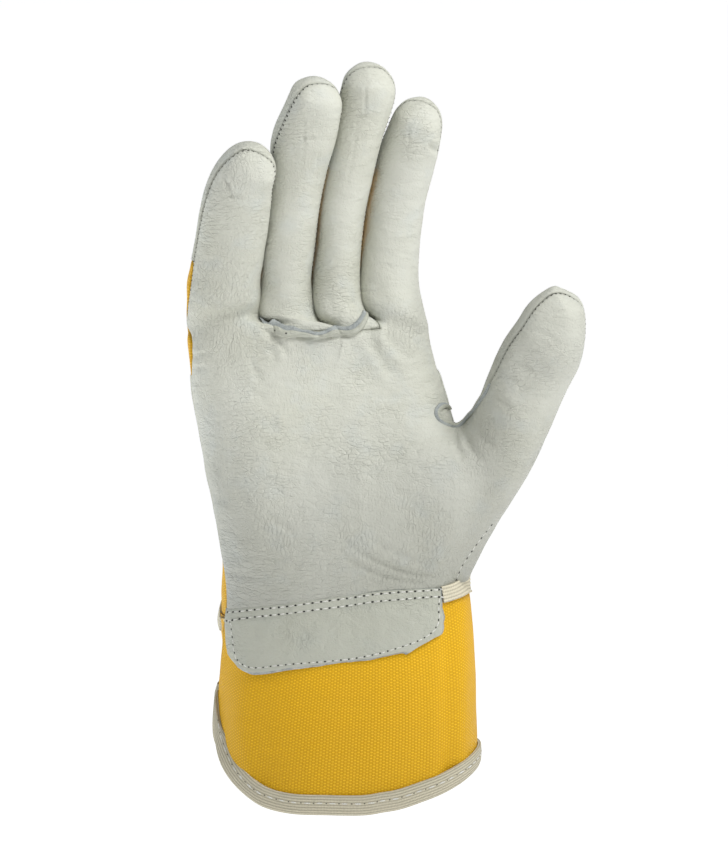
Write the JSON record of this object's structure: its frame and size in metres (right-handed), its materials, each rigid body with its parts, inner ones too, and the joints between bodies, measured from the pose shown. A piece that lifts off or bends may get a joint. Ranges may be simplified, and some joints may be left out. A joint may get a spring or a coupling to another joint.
{
  "type": "leather work glove",
  "caption": "Right-hand rigger work glove in the form of the hand: pale hide palm and finger fronts, yellow canvas back and wide safety cuff, cream bound hem.",
  "frame": {"origin": "middle of the wrist section at the wrist seam, where the glove sits on the wrist", "axes": "+Z from the wrist up to the fingertips, -Y out of the palm side, +X toward the thumb"},
  "size_m": [0.1388, 0.0706, 0.2622],
  "materials": {
    "palm_hide": "fine grain, satin",
    "yellow_canvas": "coarse plain weave, matt",
    "cream_tape": "ribbed cotton tape, matt"
  },
  "bodies": {
    "root": {"palm_leather": "palm_hide", "middle_fingers_front": "palm_hide", "fingertip_cap_little": "palm_hide", "fingertip_cap_ring": "palm_hide", "fingertip_cap_middle": "palm_hide", "index_back_leather": "palm_hide", "thumb_back_leather": "palm_hide", "knuckle_strap": "palm_hide", "finger_base_welt": "palm_hide", "thumb_crotch_welt": "palm_hide", "pulse_patch": "palm_hide", "hand_back_canvas": "yellow_canvas", "cuff_canvas": "yellow_canvas", "wrist_tape": "cream_tape", "cuff_binding": "cream_tape"}
  },
  "joints": []
}
